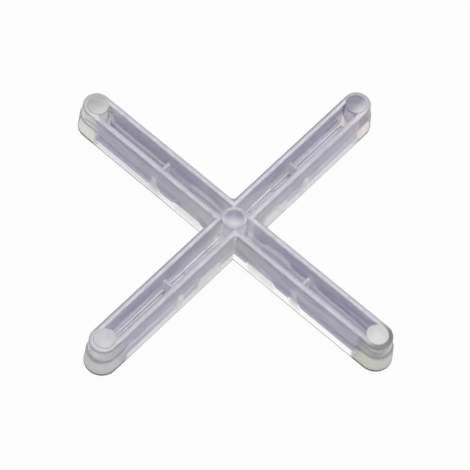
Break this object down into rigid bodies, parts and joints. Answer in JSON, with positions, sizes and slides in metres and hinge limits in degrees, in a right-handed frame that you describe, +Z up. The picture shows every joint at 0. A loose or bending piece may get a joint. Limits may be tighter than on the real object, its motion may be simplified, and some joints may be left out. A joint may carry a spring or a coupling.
{
  "type": "cross-shaped tile spacer",
  "caption": "Moulded plastic cross spacer with open channel arms, round end posts and a dished centre post, for keeping an even joint between floor or wall tiles.",
  "frame": {"origin": "centre of the flat base, under the centre post", "axes": "+Z up from the base to the rims; the four arms run along +X, -X, +Y and -Y"},
  "size_m": [0.0726, 0.0726, 0.0075],
  "materials": {
    "natural_plastic": "translucent natural polyethylene, waxy satin gloss"
  },
  "bodies": {
    "root": {"cross_spacer": "natural_plastic"}
  },
  "joints": []
}
